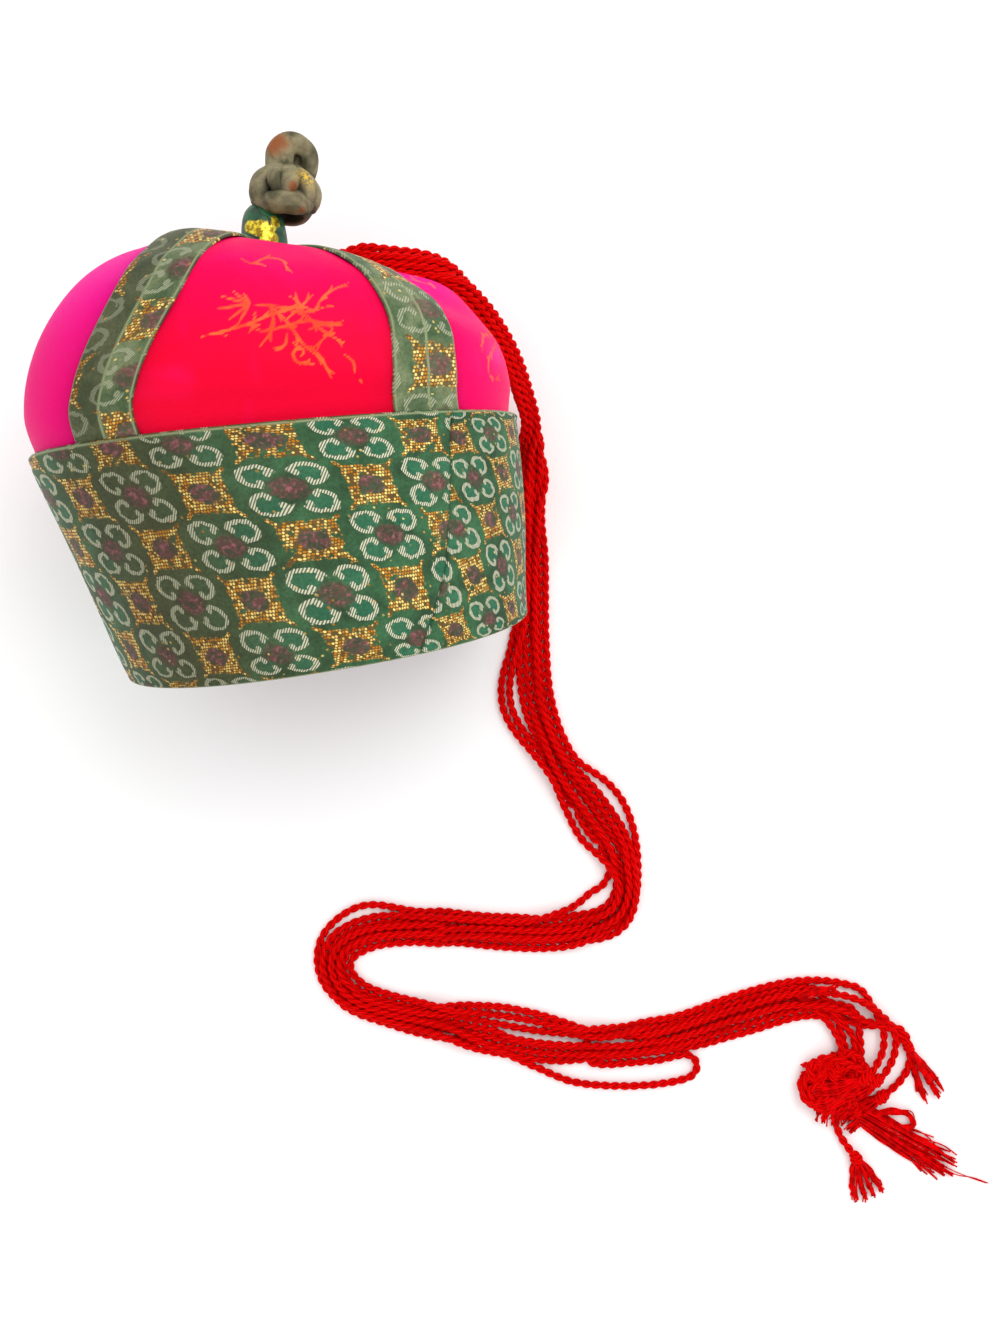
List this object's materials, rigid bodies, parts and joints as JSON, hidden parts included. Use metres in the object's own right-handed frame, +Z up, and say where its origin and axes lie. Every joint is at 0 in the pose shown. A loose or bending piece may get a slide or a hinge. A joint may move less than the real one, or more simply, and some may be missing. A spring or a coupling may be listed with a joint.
{
  "type": "mongolian hat",
  "caption": "Soft domed cap lying on its back, with silk gores, brocade seam strips, a tall flared brocade band, a button knot on top and a long bundle of red cords with tassels.",
  "frame": {"origin": "on the floor below the middle of the cap, which lies on its back", "axes": "+Z is up, +Y runs from the head opening to the knot, +X is the cap's right as the picture shows it"},
  "size_m": [0.4031, 0.6231, 0.2017],
  "materials": {
    "silk": "glossy silk damask",
    "brocade": "woven satin with raised figures",
    "collar_cloth": "satin with gold thread",
    "knot_cloth": "rolled brocade",
    "cord": "twisted cotton cord"
  },
  "bodies": {
    "root": {"crown_gore_front": "silk", "crown_gore_right": "silk", "crown_gore_back": "silk", "crown_gore_left": "silk", "seam_strip_front_right": "brocade", "seam_strip_back_right": "brocade", "seam_strip_back_left": "brocade", "seam_strip_front_left": "brocade", "brim_band": "brocade", "knot_collar": "collar_cloth", "knot_ball": "knot_cloth", "knot_loop": "knot_cloth", "cord_bundle": "cord", "tassel_heap": "cord", "tassel_right": "cord", "tassel_long": "cord", "tassel_near": "cord"}
  },
  "joints": []
}
